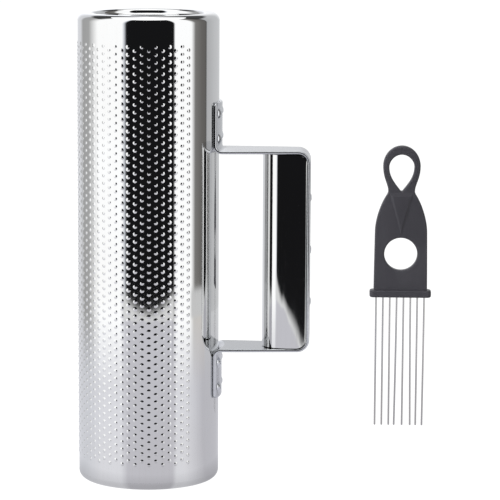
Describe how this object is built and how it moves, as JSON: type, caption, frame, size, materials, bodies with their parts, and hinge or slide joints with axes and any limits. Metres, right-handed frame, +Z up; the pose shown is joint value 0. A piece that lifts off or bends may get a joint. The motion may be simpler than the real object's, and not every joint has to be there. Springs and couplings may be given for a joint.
{
  "type": "guiro shaker",
  "caption": "Metal guiro shaker: sealed steel canister with pressed bumps, riveted D handle, loose shot inside and a tined scraper standing beside it.",
  "frame": {"origin": "centre of the canister's base, on the surface that it stands on", "axes": "+Z up along the canister's axis, +X from the axis towards the handle, +Y away from the viewer"},
  "size_m": [0.2324, 0.2119, 0.3],
  "materials": {
    "polished_steel": "mirror-polished stainless sheet",
    "satin_steel": "satin-bright stainless strap",
    "rivet_steel": "bright rivet heads",
    "shot_steel": "plain balls",
    "charcoal_plastic": "satin moulded plastic",
    "tine_steel": "drawn bright wire"
  },
  "bodies": {
    "canister": {"shell": "polished_steel", "top_cap": "polished_steel", "bottom_cap": "polished_steel", "handle_strap": "satin_steel", "grip_sleeve": "polished_steel", "upper_rivets": "rivet_steel", "lower_rivets": "rivet_steel", "grip_rivets": "rivet_steel", "tab_rivet_stems": "rivet_steel", "grip_rivet_stems": "rivet_steel"},
    "shot": {"shot": "shot_steel"},
    "scraper": {"scraper_handle": "charcoal_plastic", "tine_1": "tine_steel", "tine_2": "tine_steel", "tine_3": "tine_steel", "tine_4": "tine_steel", "tine_5": "tine_steel", "tine_6": "tine_steel", "tine_7": "tine_steel", "tine_8": "tine_steel"}
  },
  "joints": [
    {"name": "shot_travel", "type": "slide", "parent": "canister", "child": "shot", "axis": [0, 0, 1], "range_m": [0, 0.2855]},
    {"name": "scraper_lift", "type": "slide", "parent": "canister", "child": "scraper", "axis": [0, 0, 1], "range_m": [0, 0.15]}
  ]
}
